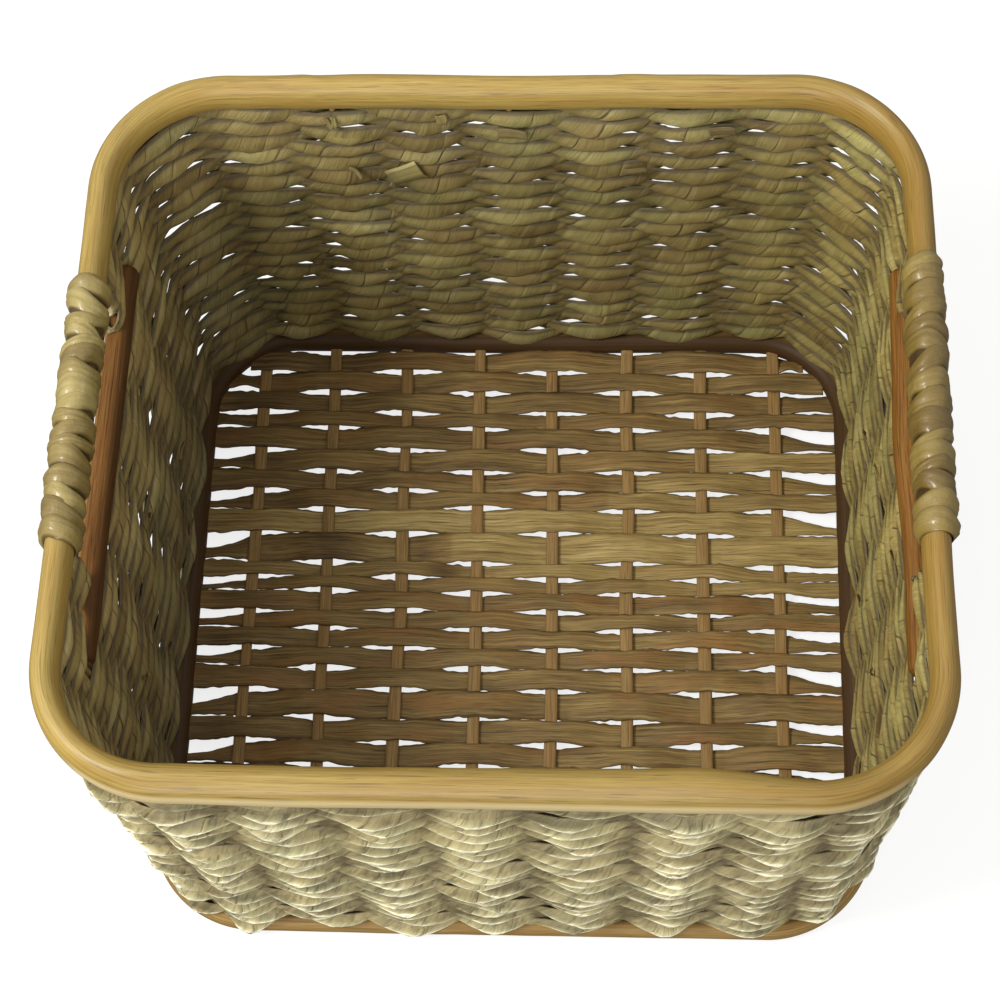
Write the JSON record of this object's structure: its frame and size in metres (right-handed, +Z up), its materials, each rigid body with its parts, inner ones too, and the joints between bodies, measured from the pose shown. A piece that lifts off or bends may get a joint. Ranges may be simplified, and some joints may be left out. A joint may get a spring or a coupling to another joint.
{
  "type": "seagrass storage basket",
  "caption": "Open rectangular woven seagrass basket with round corners, bent rattan rim and base hoop, bound hand holds with cane bars, and a plain-woven splint floor.",
  "frame": {"origin": "centre of the footprint, on the ground under the base hoop", "axes": "+X along the long side (right hand hold at +X), +Y to the back wall, +Z up"},
  "size_m": [0.4224, 0.3806, 0.2612],
  "materials": {
    "rattan_pole": "satin peeled rattan, golden tan with long fine grain",
    "base_rattan": "peeled rattan, tan to reddish",
    "brown_cane": "reddish brown cane, satin",
    "leaf_binding": "glossy pale olive seagrass leaf",
    "stake_cane": "plain cane",
    "seagrass": "twisted flat seagrass strands, olive khaki to pale cream green",
    "floor_cane": "split cane rib, brown",
    "floor_splint": "wide flat split cane, fibrous, brown with khaki patches"
  },
  "bodies": {
    "root": {"rim_pole": "rattan_pole", "base_frame_pole": "base_rattan", "left_handle_bar": "brown_cane", "left_handle_wrap": "leaf_binding", "right_handle_bar": "brown_cane", "right_handle_wrap": "leaf_binding", "front_wall_stakes": "stake_cane", "back_wall_stakes": "stake_cane", "left_wall_stakes": "stake_cane", "right_wall_stakes": "stake_cane", "corner_wall_stakes": "stake_cane", "front_wall_weave": "seagrass", "back_wall_weave": "seagrass", "left_wall_weave": "seagrass", "left_wall_weave_front_shoulder": "seagrass", "left_wall_weave_back_shoulder": "seagrass", "right_wall_weave": "seagrass", "right_wall_weave_front_shoulder": "seagrass", "right_wall_weave_back_shoulder": "seagrass", "front_left_corner_weave": "seagrass", "front_right_corner_weave": "seagrass", "back_left_corner_weave": "seagrass", "back_right_corner_weave": "seagrass", "floor_rib_1": "floor_cane", "floor_rib_2": "floor_cane", "floor_rib_3": "floor_cane", "floor_rib_4": "floor_cane", "floor_rib_5": "floor_cane", "floor_rib_6": "floor_cane", "floor_rib_7": "floor_cane", "floor_rib_8": "floor_cane", "floor_splint_01": "floor_splint", "floor_splint_02": "floor_splint", "floor_splint_03": "floor_splint", "floor_splint_04": "floor_splint", "floor_splint_05": "floor_splint", "floor_splint_06": "floor_splint", "floor_splint_07": "floor_splint", "floor_splint_08": "floor_splint", "floor_splint_09": "floor_splint", "floor_splint_10": "floor_splint", "floor_splint_11": "floor_splint", "floor_splint_12": "floor_splint", "floor_splint_13": "floor_splint", "floor_splint_14": "floor_splint", "floor_splint_15": "floor_splint", "floor_splint_16": "floor_splint", "floor_splint_17": "floor_splint", "floor_splint_18": "floor_splint", "floor_splint_19": "floor_splint", "floor_splint_20": "floor_splint", "floor_splint_21": "floor_splint", "floor_splint_22": "floor_splint", "floor_splint_23": "floor_splint", "floor_splint_24": "floor_splint", "floor_splint_25": "floor_splint", "floor_splint_26": "floor_splint"}
  },
  "joints": []
}
